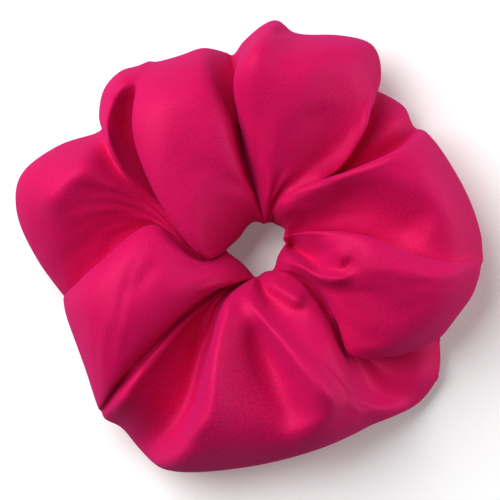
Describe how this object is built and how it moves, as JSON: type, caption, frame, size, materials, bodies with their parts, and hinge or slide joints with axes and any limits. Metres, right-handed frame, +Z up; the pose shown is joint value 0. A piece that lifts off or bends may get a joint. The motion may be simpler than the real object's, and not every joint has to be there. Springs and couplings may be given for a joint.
{
  "type": "scrunchie",
  "caption": "Oversized satin scrunchie: a puffed tube of gathered cloth closed into a ring round a flat braided elastic loop, with a small centre hole.",
  "frame": {"origin": "the middle of the footprint, on the surface that the scrunchie lies on", "axes": "+Z up through the hole, +X along the widest way across the ring, towards the half that is pulled away when the ring is stretched"},
  "size_m": [0.1498, 0.1466, 0.045],
  "materials": {
    "satin": "polyester satin, soft gloss",
    "elastic": "braided elastic, matte",
    "pink_thread": "spun polyester sewing thread",
    "white_thread": "spun polyester sewing thread"
  },
  "bodies": {
    "near_half": {"cover_near_half": "satin", "elastic_loop": "elastic", "elastic_join_needle_thread": "white_thread", "elastic_join_bobbin_thread": "white_thread", "long_seam_needle_thread": "pink_thread", "long_seam_bobbin_thread": "pink_thread", "joining_seam_needle_thread": "pink_thread", "joining_seam_bobbin_thread": "pink_thread"},
    "far_half": {"cover_far_half": "satin"}
  },
  "joints": [
    {"name": "stretch", "type": "slide", "parent": "near_half", "child": "far_half", "axis": [1, 0, 0], "range_m": [0, 0.06], "stiffness_N_per_m": 150, "deforming": ["elastic_loop", "long_seam_needle_thread", "long_seam_bobbin_thread"]}
  ]
}
